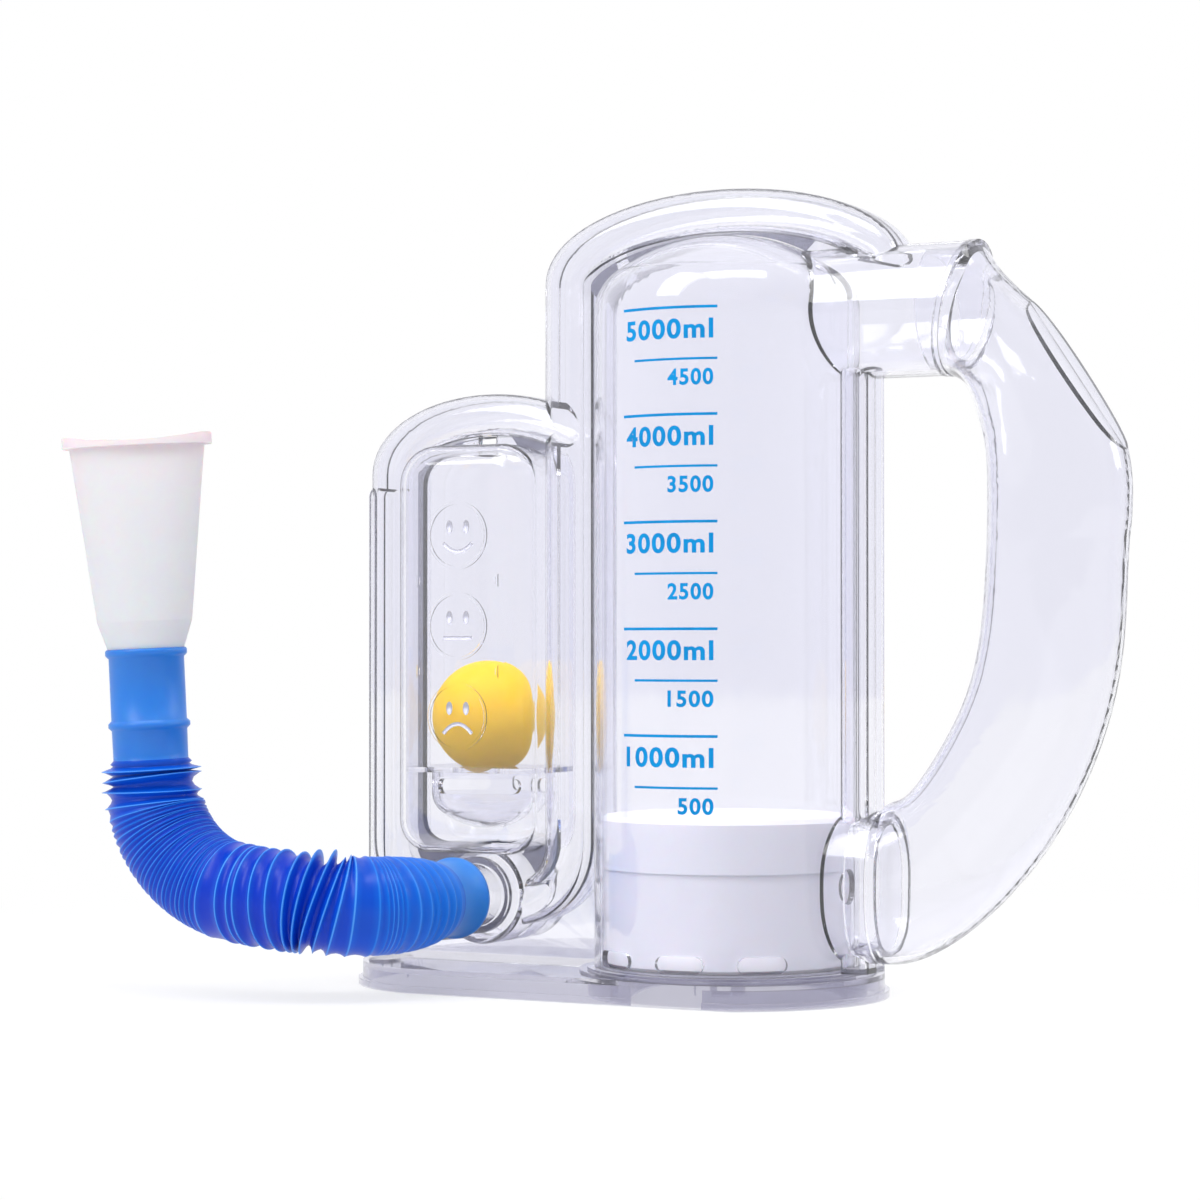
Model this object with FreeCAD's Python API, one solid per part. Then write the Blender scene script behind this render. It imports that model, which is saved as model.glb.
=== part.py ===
import FreeCAD, Part
import math
import os
from FreeCAD import Placement, Rotation, Vector

# Incentive spirometer, in millimetres. +Z is up, -Y is the front, and the handle is at +X.
# The origin is on the axis of the volume chamber, on the surface that the foot stands on.

# The clear mouldings
wall = 2.0
fit_gap = 0.3
web_thickness = 3.0

# The foot: two round ends with a straight front and back
foot_radius = 54.0
foot_left_radius = 49.2
foot_left_offset = 4.8
foot_half_depth = 48.2
foot_height = 10.0
foot_lip = 1.5
foot_lip_height = 2.5
foot_ring_step = 2.6
foot_ring_height = 1.6
floor_thickness = 3.2
floor_ledge = 4.0
floor_dish = 1.6
floor_post_radius = 6.0

# The volume chamber
chamber_radius = 46.0
shoulder_height = 235.0
dome_rise = 26.5
dome_corner = 17.0
vent_width = 17.0
vent_height = 5.7
vent_sill = 1.2
vent_pitch = 36.0
vent_turn = 4.6
vents_each_side = 1
chamber_port_radius = 6.0
chamber_port_drop = 18.5

# The piston
piston_wall = 1.6
crown_height = 18.0
skirt_height = 33.0
skirt_inset = 0.6
spigot_height = 4.0

# The ball, the column that it rises in, and the cup that it rests on
ball_radius = 20.0
ball_wall = 0.8
ball_side_gap = 5.5
ball_front_gap = 0.4
column_bottom = 46.4
column_top = 191.4
column_top_corner = 14.0
column_bottom_corner = 12.0
column_front_round = 8.5
column_lap = 0.4
seat_height = 77.0
seat_plate = 1.8
seat_hole_radius = 9.8
bowl_depth = 22.0
bowl_bottom = seat_height - bowl_depth
bowl_corner = 9.0
slot_count = 3
slot_turn = 16.0
slot_span = 82.0
slot_height = 5.3
slot_drop = 2.2

# The raised marks on the front of the column
mark_ring_radius = 12.0
mark_line = 1.0
mark_height = 0.5
mark_bottom = 95.0
mark_pitch = 32.0
bar_length = 33.0
bar_height = 4.4

# The air ducts of the shells
duct_half_width = 7.5
duct_half_depth = 13.0
duct_wall = 1.8
duct_offset = 6.7
loop_width = 71.7
loop_elbow_height = 28.5
loop_elbow_radius = 22.0
small_arch_spring = 182.0
small_arch_rise = 20.3
main_arch_spring = 247.0
main_arch_rise = 22.5
rib_half_width = 5.0
rib_half_depth = 11.0
rib_offset = 4.5
left_rib_offset = 4.0
left_rib_top = 178.5
left_rib_round = 4.5

# The hose port
port_height = 32.0
port_offset = 3.8
boss_radius = 17.5
boss_reach = 14.0
port_radius = 11.0
port_wall = 2.0
port_reach = 46.0
push_fit = 0.05
port_collar_radius = 13.5
port_collar_length = 3.0

# The handle, a hollow duct between the upper stub and the lower socket
stub_radius = 22.3
stub_height = 232.4
stub_reach = 40.0
stub_lean = 13.0
spigot_length = 8.0
seal_width = 2.2
seal_rise = 0.3
socket_height = 38.6
socket_reach = 12.5
socket_half_height = 25.6
socket_half_depth = 18.0
handle_squareness = 2.4
facet_start = (68.0, 0.979)
facet_end = (98.0, 0.745)

# Sections of the handle between the stub and the socket: the outer point, the inner point and
# half the depth. A point is its distance from the chamber's wall, and its height as a share of
# the way from the socket's axis to the stub's.
upper_handle_sections = [
    (51.5, 1.070, 43.5, 0.869, 21.5),
    (70.5, 0.978, 47.5, 0.831, 19.0),
    (87.5, 0.872, 50.0, 0.772, 17.5),
    (97.6, 0.737, 50.8, 0.690, 16.5),
    (97.5, 0.600, 50.5, 0.600, 16.0),
]
lower_handle_sections = [
    (96.3, 0.475, 48.9, 0.475, 16.0),
    (92.7, 0.336, 44.4, 0.357, 16.0),
    (84.0, 0.205, 37.5, 0.277, 16.5),
    (67.0, 0.059, 28.0, 0.200, 17.0),
    (43.0, -0.067, 19.5, 0.156, 17.5),
]
handle_sections = upper_handle_sections + lower_handle_sections
level_section = len(upper_handle_sections)

# The hose, its cuffs and the mouthpiece
hose_radius = 17.2
hose_wall = 2.2
cuff_radius = 13.0
cuff_bead_radius = 14.2
cuff_bead = 2.5
cuff_root_radius = 16.4
cuff_root = 2.0
port_cuff_length = 16.0
mouth_cuff_length = 38.6
mouth_cuff_bead_height = 11.0
mouth_neck_length = 12.6
mouth_height = 74.1
mouth_root_radius = 13.2
mouth_root_depth = 13.1
mouth_shoulder_height = 9.5
mouth_shoulder = (16.4, 14.0)
mouth_top = (23.9, 11.5)
mouth_wall = 1.6
mouth_turn = 28.0
rim_width = 2.1
rim_height = 4.0
saddle_radius = 130.0

# The hose's route, from the port cuff to the mouth cuff
hose_route = [
    Vector(-91.0, -46.0, 32.0),
    Vector(-91.0, -62.0, 32.0),
    Vector(-99.5, -78.5, 31.8),
    Vector(-116.0, -88.0, 33.0),
    Vector(-134.5, -90.5, 35.0),
    Vector(-152.0, -89.5, 37.5),
    Vector(-168.3, -88.2, 47.3),
    Vector(-178.4, -88.0, 63.5),
    Vector(-179.1, -88.4, 80.5),
]

# Places worked out from the sizes above
middle_duct_x = -(chamber_radius + duct_offset + duct_half_width)
left_duct_x = middle_duct_x - loop_width
rib_x = chamber_radius + rib_offset
column_half_width = ball_radius + ball_side_gap + wall
column_half_depth = ball_radius + ball_front_gap + wall
column_x = middle_duct_x - duct_half_width + column_lap - column_half_width
port_x = column_x + port_offset
left_rib_x = left_duct_x - left_rib_offset
stub_end_x = chamber_radius + stub_reach
stub_lean_reach = stub_radius * math.tan(math.radians(stub_lean))
socket_end_x = chamber_radius + socket_reach
floor_top = foot_height + vent_sill - fit_gap * 1.7
big = 400.0

Y_AXIS = Vector(0, 1, 0)
X_AXIS = Vector(1, 0, 0)
Z_AXIS = Vector(0, 0, 1)


def box(x0, y0, z0, x1, y1, z1):
    """A block between two corners."""
    return Part.makeBox(x1 - x0, y1 - y0, z1 - z0, Vector(x0, y0, z0))


def fused(solids):
    """All the solids as one, with no seams left between them."""
    return solids[0].multiFuse(solids[1:]).removeSplitter()


def turned(points):
    """The solid that a closed profile of lines sweeps about the Z axis; each point is (radius, height)."""
    corners = [Vector(radius, 0, height) for radius, height in points]
    face = Part.Face(Part.makePolygon(corners + corners[:1]))
    return face.revolve(Vector(0, 0, 0), Z_AXIS, 360)


def domed_cylinder(radius, bottom, shoulder, rise, corner):
    """A cylinder about Z whose top is a shallow crown with rounded corners."""
    crown = ((radius - corner) ** 2 + rise ** 2 - corner ** 2) / (2 * (rise - corner))
    corner_centre = Vector(radius - corner, 0, shoulder)
    crown_centre = Vector(0, 0, shoulder + rise - crown)
    outward = (corner_centre - crown_centre).normalize()
    joint = corner_centre + outward * corner
    halfway = (outward + X_AXIS).normalize()
    steep = (outward + Z_AXIS).normalize()
    rim = Vector(radius, 0, shoulder)
    apex = Vector(0, 0, shoulder + rise)
    edges = [
        Part.makeLine(Vector(0, 0, bottom), Vector(radius, 0, bottom)),
        Part.makeLine(Vector(radius, 0, bottom), rim),
        Part.Arc(rim, corner_centre + halfway * corner, joint).toShape(),
        Part.Arc(joint, crown_centre + steep * crown, apex).toShape(),
        Part.makeLine(apex, Vector(0, 0, bottom)),
    ]
    face = Part.Face(Part.Wire(edges))
    return face.revolve(Vector(0, 0, 0), Z_AXIS, 360)


def obround(centre, across, half_width, half_depth):
    """A closed curve of two straight sides and two round ends; its length lies along Y."""
    reach = half_depth - half_width
    corners = []
    for side, end in ((1, -1), (1, 1), (-1, 1), (-1, -1)):
        corners.append(centre + across * (side * half_width) + Y_AXIS * (end * reach))
    edges = [
        Part.makeLine(corners[0], corners[1]),
        Part.Arc(corners[1], centre + Y_AXIS * half_depth, corners[2]).toShape(),
        Part.makeLine(corners[2], corners[3]),
        Part.Arc(corners[3], centre - Y_AXIS * half_depth, corners[0]).toShape(),
    ]
    return Part.Wire(edges)


def duct(edges, start, inset):
    """A bar of the ducts' section along a path in the middle plane that starts along X."""
    profile = obround(start, Z_AXIS, duct_half_width - inset, duct_half_depth - inset)
    return Part.Wire(edges).makePipeShell([profile], True, False)


def foot_slab(inset, bottom, top):
    """A slab of the foot's plan, made smaller all round by inset."""
    height = top - bottom
    left_x = column_x + foot_left_offset
    left = Part.makeCylinder(foot_left_radius - inset, height, Vector(left_x, 0, bottom))
    right = Part.makeCylinder(foot_radius - inset, height, Vector(0, 0, bottom))
    depth = foot_half_depth - inset
    middle = box(left_x, -depth, bottom, 0, depth, top)
    return fused([left, right, middle]).common(box(-big, -depth, bottom, big, depth, top))


def foot_plate():
    """The foot, hollow from below, with low rings round the chamber and a ledge for its floor."""
    lip = foot_slab(-foot_lip, 0, foot_lip_height)
    top = foot_height - foot_ring_height
    plate = fused([lip, foot_slab(0, 0, top)])
    rings = []
    for number in range(2):
        radius = chamber_radius + foot_ring_step * (2 - number)
        rings.append(Part.makeCylinder(radius, top + foot_ring_height * (number + 1) / 2))
    plate = fused([plate] + rings).common(foot_slab(-foot_lip, 0, foot_height))
    hollow = foot_slab(wall, 0, top - wall)
    ring = Part.makeCylinder(chamber_radius + wall, foot_height - wall)
    plate = plate.cut(hollow.cut(ring))
    bore = chamber_radius - wall
    plate = plate.cut(Part.makeCylinder(bore - floor_ledge, foot_height))
    shelf = floor_top - floor_thickness
    return plate.cut(Part.makeCylinder(bore, foot_height, Vector(0, 0, shelf)))


def chamber_floor():
    """The disc in the foot that closes the chamber and stops the piston, with a post down to the table."""
    radius = chamber_radius - wall - fit_gap
    bottom = floor_top - floor_thickness
    disc = Part.makeCylinder(radius, floor_thickness, Vector(0, 0, bottom))
    dish = Part.makeCylinder(radius - floor_ledge * 2, floor_dish, Vector(0, 0, bottom))
    return fused([disc.cut(dish), Part.makeCylinder(floor_post_radius, bottom + floor_dish)])


def vent(angle):
    """The cutter for one rounded slot through the chamber's wall, turned from the front."""
    depth = wall * 4
    round_end = vent_height / 2
    half = vent_width / 2 - round_end
    middle = foot_height + vent_sill + round_end
    start_y = -chamber_radius - wall
    solids = [box(-half, start_y, middle - round_end, half, start_y + depth, middle + round_end)]
    for side in (-half, half):
        solids.append(Part.makeCylinder(round_end, depth, Vector(side, start_y, middle), Y_AXIS))
    slot = fused(solids)
    slot.rotate(Vector(0, 0, 0), Z_AXIS, angle)
    return slot


def volume_chamber():
    """The clear domed cylinder with its slots, and a port to the stub and one to the socket."""
    outside = domed_cylinder(chamber_radius, foot_height, shoulder_height, dome_rise, dome_corner)
    inside = domed_cylinder(
        chamber_radius - wall, foot_height - wall, shoulder_height, dome_rise - wall, dome_corner - wall
    )
    chamber = outside.cut(inside)
    for front in (0, 180):
        for number in range(-vents_each_side, vents_each_side + 1):
            chamber = chamber.cut(vent(front + vent_turn + number * vent_pitch))
    top = shoulder_height + dome_rise
    for height in (top - chamber_port_drop, socket_height):
        start = Vector(chamber_radius / 2, 0, height)
        chamber = chamber.cut(Part.makeCylinder(chamber_port_radius, chamber_radius, start, X_AXIS))
    return chamber


def piston_skirt():
    """The lower part of the piston, a tube with a spigot inside the crown."""
    bottom = floor_top + fit_gap
    outer = chamber_radius - wall - fit_gap - skirt_inset
    shelf = bottom + skirt_height
    neck = chamber_radius - wall - fit_gap - piston_wall - fit_gap / 2
    inner = neck - piston_wall
    return turned([
        (outer - 1.0, bottom),
        (outer, bottom + 1.0),
        (outer, shelf),
        (neck, shelf),
        (neck, shelf + spigot_height),
        (inner, shelf + spigot_height),
        (inner, bottom),
    ])


def piston_crown():
    """The upper part of the piston, a cup turned upside down with a shallow dish in its top."""
    bottom = floor_top + fit_gap + skirt_height
    top = bottom + crown_height
    outer = chamber_radius - wall - fit_gap
    inner = outer - piston_wall
    return turned([
        (outer, bottom),
        (outer, top - 1.5),
        (outer - 1.5, top),
        (outer - 5.0, top),
        (outer - 7.0, top - 1.5),
        (0, top - 1.5),
        (0, top - 1.5 - piston_wall),
        (inner, top - 1.5 - piston_wall),
        (inner, bottom),
    ])


def column(inset):
    """The rounded box that the ball rises in, made smaller all round by inset."""
    half = column_half_width - inset
    depth = column_half_depth - inset
    low = column_bottom + inset
    high = column_top - inset
    block = box(column_x - half, -depth, low, column_x + half, depth, high)
    tops = []
    bottoms = []
    for edge in block.Edges:
        middle = edge.CenterOfMass
        if abs(middle.y) < 0.1 and abs(abs(middle.x - column_x) - half) < 0.1:
            (tops if middle.z > (low + high) / 2 else bottoms).append(edge)
    block = block.makeFillet(column_top_corner - inset, tops)
    bottoms = []
    for edge in block.Edges:
        middle = edge.CenterOfMass
        if abs(middle.y) < 0.1 and abs(middle.z - low) < 0.1:
            bottoms.append(edge)
    block = block.makeFillet(column_bottom_corner - inset, bottoms)
    rims = [edge for edge in block.Edges if abs(abs(edge.CenterOfMass.y) - depth) < 0.1]
    return block.makeFillet(column_front_round - inset, rims)


def seat_rest_height():
    """The height of the ball's centre when it rests on its seat."""
    reach = ball_radius + fit_gap
    return seat_height + math.sqrt(reach ** 2 - seat_hole_radius ** 2)


def bowl_slot(radius, bottom, middle_angle):
    """The cutter for one wide slot with round ends through the bowl's wall, turned from the front."""
    round_end = slot_height / 2
    inner = radius - 2 * wall
    outer = radius + wall
    corners = [
        Vector(inner, 0, bottom), Vector(outer, 0, bottom),
        Vector(outer, 0, bottom + slot_height), Vector(inner, 0, bottom + slot_height),
    ]
    face = Part.Face(Part.makePolygon(corners + corners[:1]))
    solids = [face.revolve(Vector(0, 0, 0), Z_AXIS, slot_span)]
    for angle in (0, slot_span):
        end = Part.makeCylinder(round_end, outer - inner, Vector(inner, 0, bottom + round_end), X_AXIS)
        end.rotate(Vector(0, 0, 0), Z_AXIS, angle)
        solids.append(end)
    slot = fused(solids)
    slot.rotate(Vector(0, 0, 0), Z_AXIS, middle_angle - slot_span / 2 - 90)
    slot.translate(Vector(column_x, 0, 0))
    return slot


def ball_seat():
    """The plate that the ball rests on, with a slotted bowl under it."""
    half = column_half_width - wall - fit_gap
    depth = column_half_depth - wall - fit_gap
    corner = column_front_round - wall
    plate = box(column_x - half, -depth, seat_height - seat_plate, column_x + half, depth, seat_height)
    uprights = [edge for edge in plate.Edges if abs(edge.CenterOfMass.z - seat_height + seat_plate / 2) < 0.01]
    plate = plate.makeFillet(corner, uprights)
    centre = Vector(column_x, 0, 0)
    rim = seat_height - seat_plate - slot_drop - slot_height
    straight = seat_height - seat_plate - rim
    bowl = domed_cylinder(depth, 0, straight, rim - bowl_bottom, bowl_corner)
    hollow = domed_cylinder(depth - wall, -1, straight, rim - bowl_bottom - wall, bowl_corner - wall)
    bowl = bowl.cut(hollow)
    bowl.rotate(Vector(0, 0, 0), X_AXIS, 180)
    bowl.translate(centre + Vector(0, 0, seat_height - seat_plate))
    seat = fused([plate, bowl])
    for number in range(slot_count):
        seat = seat.cut(bowl_slot(depth, rim, slot_turn + number * 360 / slot_count))
    hole = Part.makeCylinder(seat_hole_radius, seat_plate * 3, centre + Vector(0, 0, seat_height - seat_plate * 2))
    return seat.cut(hole)


def flow_ball():
    """The hollow ball."""
    centre = Vector(column_x, 0, seat_rest_height())
    return Part.makeSphere(ball_radius, centre).cut(Part.makeSphere(ball_radius - ball_wall, centre))


def duct_elbow(side, duct_x):
    """The line and the bend from the port to an upright duct, to its left (-1) or right (+1)."""
    centre = Vector(duct_x - side * loop_elbow_radius, 0, loop_elbow_height + loop_elbow_radius)
    bend = loop_elbow_radius * math.sqrt(0.5)
    start = centre - Z_AXIS * loop_elbow_radius
    middle = centre + Vector(side * bend, 0, -bend)
    end = centre + X_AXIS * (side * loop_elbow_radius)
    bottom = Vector(port_x, 0, loop_elbow_height)
    return [Part.makeLine(bottom, start), Part.Arc(start, middle, end).toShape()], end


def duct_loop(inset):
    """The left duct: from the port, up the left side and over the small arch to the middle duct."""
    edges, elbow_end = duct_elbow(-1, left_duct_x)
    spring = Vector(left_duct_x, 0, small_arch_spring)
    half_span = port_x - left_duct_x
    centre = Vector(port_x, 0, small_arch_spring)
    oval = Part.Ellipse(spring, centre + Z_AXIS * small_arch_rise, centre)
    reach = math.pi - math.acos((middle_duct_x - port_x) / half_span)
    edges.append(Part.makeLine(elbow_end, spring))
    edges.append(Part.ArcOfEllipse(oval, 0, reach).toShape())
    return duct(edges, Vector(port_x, 0, loop_elbow_height), inset)


def duct_main(inset):
    """The middle duct: from the port, up beside the chamber and over the main arch to the stub."""
    edges, elbow_end = duct_elbow(1, middle_duct_x)
    spring = Vector(middle_duct_x, 0, main_arch_spring)
    centre = Vector(0, 0, main_arch_spring)
    oval = Part.Ellipse(spring, centre + Z_AXIS * main_arch_rise, centre)
    edges.append(Part.makeLine(elbow_end, spring))
    edges.append(Part.ArcOfEllipse(oval, 0, math.pi).toShape())
    return duct(edges, Vector(port_x, 0, loop_elbow_height), inset)


def half_oval(centre_x, spring, half_span, rise):
    """The flat web under an arch, as a plate."""
    centre = Vector(centre_x, -web_thickness / 2, spring)
    left = centre - X_AXIS * half_span
    oval = Part.Ellipse(left, centre + Z_AXIS * rise, centre)
    edges = [Part.ArcOfEllipse(oval, 0, math.pi).toShape(), Part.makeLine(centre + X_AXIS * half_span, left)]
    return Part.Face(Part.Wire(edges)).extrude(Vector(0, web_thickness, 0))


def web():
    """The flat panel that joins the ducts and the ribs."""
    half = web_thickness / 2
    left = box(left_rib_x, -half, foot_height, middle_duct_x, half, left_rib_top - left_rib_round)
    shoulder = box(left_duct_x, -half, left_rib_top - left_rib_round - 1, middle_duct_x, half, small_arch_spring)
    right = box(middle_duct_x, -half, foot_height, rib_x, half, main_arch_spring)
    small = half_oval(port_x, small_arch_spring, port_x - left_duct_x, small_arch_rise)
    small = small.common(box(-big, -big, 0, middle_duct_x, big, big))
    main = half_oval(0, main_arch_spring, -middle_duct_x, main_arch_rise)
    return fused([left, shoulder, right, small, main])


def rib(x, top, inset, top_round):
    """An upright hollow rib beside the ducts, made smaller all round by inset."""
    section = obround(Vector(x, 0, foot_height + inset), X_AXIS, rib_half_width - inset, rib_half_depth - inset)
    bar = Part.Face(section).extrude(Z_AXIS * (top - foot_height - 2 * inset))
    if top_round > inset:
        rims = [edge for edge in bar.Edges if abs(edge.BoundBox.ZMin - top + inset) < 0.01]
        bar = bar.makeFillet(top_round - inset, rims)
    return bar


def oval_bar(x0, x1, half_height, half_depth):
    """The oval bar of the lower socket, along X."""
    section = oval(Vector(x0, 0, socket_height), Z_AXIS, half_height, half_depth)
    return Part.Face(section).extrude(Vector(x1 - x0, 0, 0))


def housing():
    """Both shells as one hollow body, before it is parted in the middle plane."""
    chamber_x = chamber_radius / 2
    boss = Part.makeCylinder(boss_radius, boss_reach * 2, Vector(port_x, -boss_reach, port_height), Y_AXIS)
    boss = boss.makeFillet(wall, [edge for edge in boss.Edges if edge.Curve.TypeId == "Part::GeomCircle"])
    stub = Part.makeCylinder(stub_radius, stub_end_x, Vector(chamber_x, 0, stub_height), X_AXIS)
    stub = stub.common(stub_side(stub_end_x))
    right_rib = rib(rib_x, stub_height, 0, 0)
    left_rib = rib(left_rib_x, left_rib_top, 0, left_rib_round)
    socket = oval_bar(chamber_x, socket_end_x, socket_half_height, socket_half_depth)
    outside = fused([
        web(), duct_loop(0), duct_main(0), column(0), boss, stub, right_rib, left_rib, socket,
    ])
    thin = duct_half_width - duct_wall
    boss_room = Part.makeCylinder(
        boss_radius - wall, (boss_reach - wall) * 2, Vector(port_x, wall - boss_reach, port_height), Y_AXIS
    )
    riser = box(port_x - thin, -thin, port_height, port_x + thin, thin, column_bottom + wall * 3)
    outlet = Part.makeCylinder(thin * 0.7, wall * 5, Vector(column_x, 0, column_top - wall * 2))
    stub_bore = Part.makeCylinder(stub_radius - wall, stub_end_x, Vector(chamber_x, 0, stub_height), X_AXIS)
    socket_bore = oval_bar(chamber_x, socket_end_x + 1, socket_half_height - wall, socket_half_depth - wall)
    inside = fused([
        duct_loop(duct_wall), duct_main(duct_wall), column(wall), boss_room, riser, outlet, stub_bore, socket_bore,
        rib(rib_x, stub_height, duct_wall, 0), rib(left_rib_x, left_rib_top, duct_wall, left_rib_round),
    ])
    room = domed_cylinder(
        chamber_radius + fit_gap, 0, shoulder_height, dome_rise + fit_gap, dome_corner + fit_gap
    )
    hole = Part.makeCylinder(
        port_radius + fit_gap / 2, boss_reach, Vector(port_x, -boss_reach - 1, port_height), Y_AXIS
    )
    return outside.cut(inside).cut(room).cut(hole)


def marks():
    """The raised rings and bars on the column's front."""
    face_y = -column_half_depth
    solids = []
    for number in range(3):
        height = mark_bottom + number * mark_pitch
        start = Vector(column_x, face_y - mark_height, height)
        ring = Part.makeCylinder(mark_ring_radius, mark_height + 0.2, start, Y_AXIS)
        solids.append(ring.cut(Part.makeCylinder(mark_ring_radius - mark_line, mark_height + 1, start, Y_AXIS)))
    for number in range(2):
        height = mark_bottom + (number + 0.5) * mark_pitch
        low = height - bar_height / 2
        frame = box(
            column_x - bar_length / 2, face_y - mark_height, low,
            column_x + bar_length / 2, face_y + 0.2, low + bar_height,
        )
        room = box(
            column_x - bar_length / 2 + mark_line, face_y - 1, low + mark_line,
            column_x + bar_length / 2 - mark_line, face_y + 1, low + bar_height - mark_line,
        )
        solids.append(frame.cut(room))
    return solids


def oval(centre, across, half_width, half_depth, deep=Y_AXIS, squareness=handle_squareness):
    """A closed curve between an ellipse (squareness 2) and a rectangle."""
    power = 2 / squareness
    count = 12
    points = []
    for number in range(count):
        angle = 2 * math.pi * number / count
        cosine = math.cos(angle)
        sine = math.sin(angle)
        along = math.copysign(abs(cosine) ** power, cosine) * half_width
        over = math.copysign(abs(sine) ** power, sine) * half_depth
        points.append(centre + across * along + deep * over)
    curve = Part.BSplineCurve()
    curve.interpolate(Points=points, PeriodicFlag=True)
    return Part.Wire(curve.toShape())


def stub_side(x):
    """Everything on the chamber's side of the leaning joint that crosses the stub's axis at x."""
    side = Part.makeBox(big, 2 * big, 2 * big, Vector(-big, -big, -big))
    side.Placement = Placement(Vector(x, 0, stub_height), Rotation(Y_AXIS, stub_lean))
    return side


def handle_point(distance, share):
    """A point of the handle's outline, from its distance from the chamber and its share of the height."""
    return Vector(chamber_radius + distance, 0, socket_height + share * (stub_height - socket_height))


def handle_section(outer, inner, half_depth, inset, squareness=handle_squareness):
    """The handle's section between its outer and inner points, made smaller all round by inset."""
    across = outer - inner
    half_width = across.Length / 2 - inset
    across.normalize()
    return oval((outer + inner) / 2, across, half_width, half_depth - inset, squareness=squareness)


def handle_bar(inset):
    """The handle as a bar from the seal to the socket, made thinner all round by inset."""
    start = Vector(stub_end_x + seal_width, 0, stub_height)
    up = Vector(stub_lean_reach, 0, stub_radius)
    wires = [handle_section(start + up, start - up, stub_radius, inset, squareness=2.0)]
    for out_distance, out_share, in_distance, in_share, half_depth in handle_sections:
        outer = handle_point(out_distance, out_share)
        inner = handle_point(in_distance, in_share)
        wires.append(handle_section(outer, inner, half_depth, inset))
    end = Vector(socket_end_x + fit_gap / 3, 0, socket_height)
    up = Z_AXIS * socket_half_height
    wires.append(handle_section(end - up, end + up, socket_half_depth, inset))
    level = handle_point(*handle_sections[level_section - 1][:2]).z
    upper = Part.makeLoft(wires[:level_section + 2], True, False)
    upper = upper.common(box(0, -big, level, big, big, big))
    lower = Part.makeLoft(wires[level_section - 1:], True, False)
    lower = lower.common(box(0, -big, -big, big, big, level))
    bar = fused([upper, lower])
    first = handle_point(*facet_start)
    last = handle_point(*facet_end)
    along = (last - first).normalize()
    outward = Vector(-along.z, 0, along.x)
    slab = Part.makeBox(big, big, big, Vector(-big / 2, -big / 2, 0))
    slab.Placement = Placement(first - outward * inset, Rotation(Z_AXIS, outward))
    return bar.cut(slab)


def handle():
    """The whole hollow handle, with a spigot for the stub and one for the socket."""
    plug_radius = stub_radius - wall - fit_gap / 3
    plug_start = Vector(stub_end_x - spigot_length, 0, stub_height)
    plug_length = spigot_length + seal_width + stub_lean_reach + 2 * wall
    plug = Part.makeCylinder(plug_radius, plug_length, plug_start, X_AXIS)
    plug = plug.common(stub_side(stub_end_x + seal_width + wall / 2))
    plug_bore = Part.makeCylinder(plug_radius - wall, plug_length, plug_start, X_AXIS)
    tongue_height = socket_half_height - wall - fit_gap / 3
    tongue_depth = socket_half_depth - wall - fit_gap / 3
    tongue_x = socket_end_x - spigot_length
    tongue = oval_bar(tongue_x, socket_end_x + 2 * wall, tongue_height, tongue_depth)
    tongue_bore = oval_bar(tongue_x, socket_end_x + 2 * wall, tongue_height - wall, tongue_depth - wall)
    solid = fused([handle_bar(0), plug, tongue])
    lip = 1.5 * wall
    lower_end = box(0, -big, 0, socket_end_x + lip, big, socket_height + socket_half_height + wall)
    inner_bar = handle_bar(wall)
    cavity = inner_bar.cut(stub_side(stub_end_x + seal_width + lip)).cut(lower_end)
    solid = solid.cut(cavity).cut(plug_bore.common(inner_bar)).cut(tongue_bore)
    return solid.cut(plug_bore.common(stub_side(stub_end_x + seal_width)))


def handle_seal():
    """The ring between the stub's end and the handle."""
    start = Vector(stub_end_x / 2, 0, stub_height)
    ring = Part.makeCylinder(stub_radius + seal_rise, stub_end_x, start, X_AXIS)
    ring = ring.cut(Part.makeCylinder(stub_radius - wall, stub_end_x, start, X_AXIS))
    return ring.common(stub_side(stub_end_x + seal_width)).cut(stub_side(stub_end_x))


def aimed(solid, start, direction):
    """A solid made along +Z from the origin, moved to a start point and turned to a direction."""
    solid.Placement = Placement(start, Rotation(Z_AXIS, direction)).multiply(solid.Placement)
    return solid


def hose_port():
    """The spigot that the hose is pushed on, with a collar against the boss."""
    tip = port_radius - 0.6
    spigot = turned([
        (port_radius, 0),
        (port_radius, boss_reach),
        (port_collar_radius, boss_reach),
        (port_collar_radius, boss_reach + port_collar_length),
        (port_radius, boss_reach + port_collar_length),
        (port_radius, port_reach - 2),
        (tip, port_reach),
        (port_radius - port_wall, port_reach),
        (port_radius - port_wall, 0),
    ])
    start = boss_reach - wall
    spigot = spigot.common(Part.makeCylinder(big, big, Vector(0, 0, start)))
    return aimed(spigot, Vector(port_x, 0, port_height), Vector(0, -1, 0))


def port_cuff():
    """The hose's cuff on the port, with a bead round its mouth."""
    bore = port_radius + push_fit
    length = port_cuff_length
    cuff = turned([
        (bore, 0),
        (cuff_bead_radius, 0),
        (cuff_bead_radius, cuff_bead),
        (cuff_radius, cuff_bead),
        (cuff_radius, length - cuff_root),
        (cuff_root_radius, length - cuff_root),
        (cuff_root_radius, length),
        (bore, length),
    ])
    start = Vector(port_x, -port_reach + port_cuff_length, port_height)
    return aimed(cuff, start, Vector(0, -1, 0))


def mouth_axis():
    """The direction that the mouth cuff and the mouthpiece point in."""
    return (hose_route[-1] - hose_route[-2]).normalize()


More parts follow.
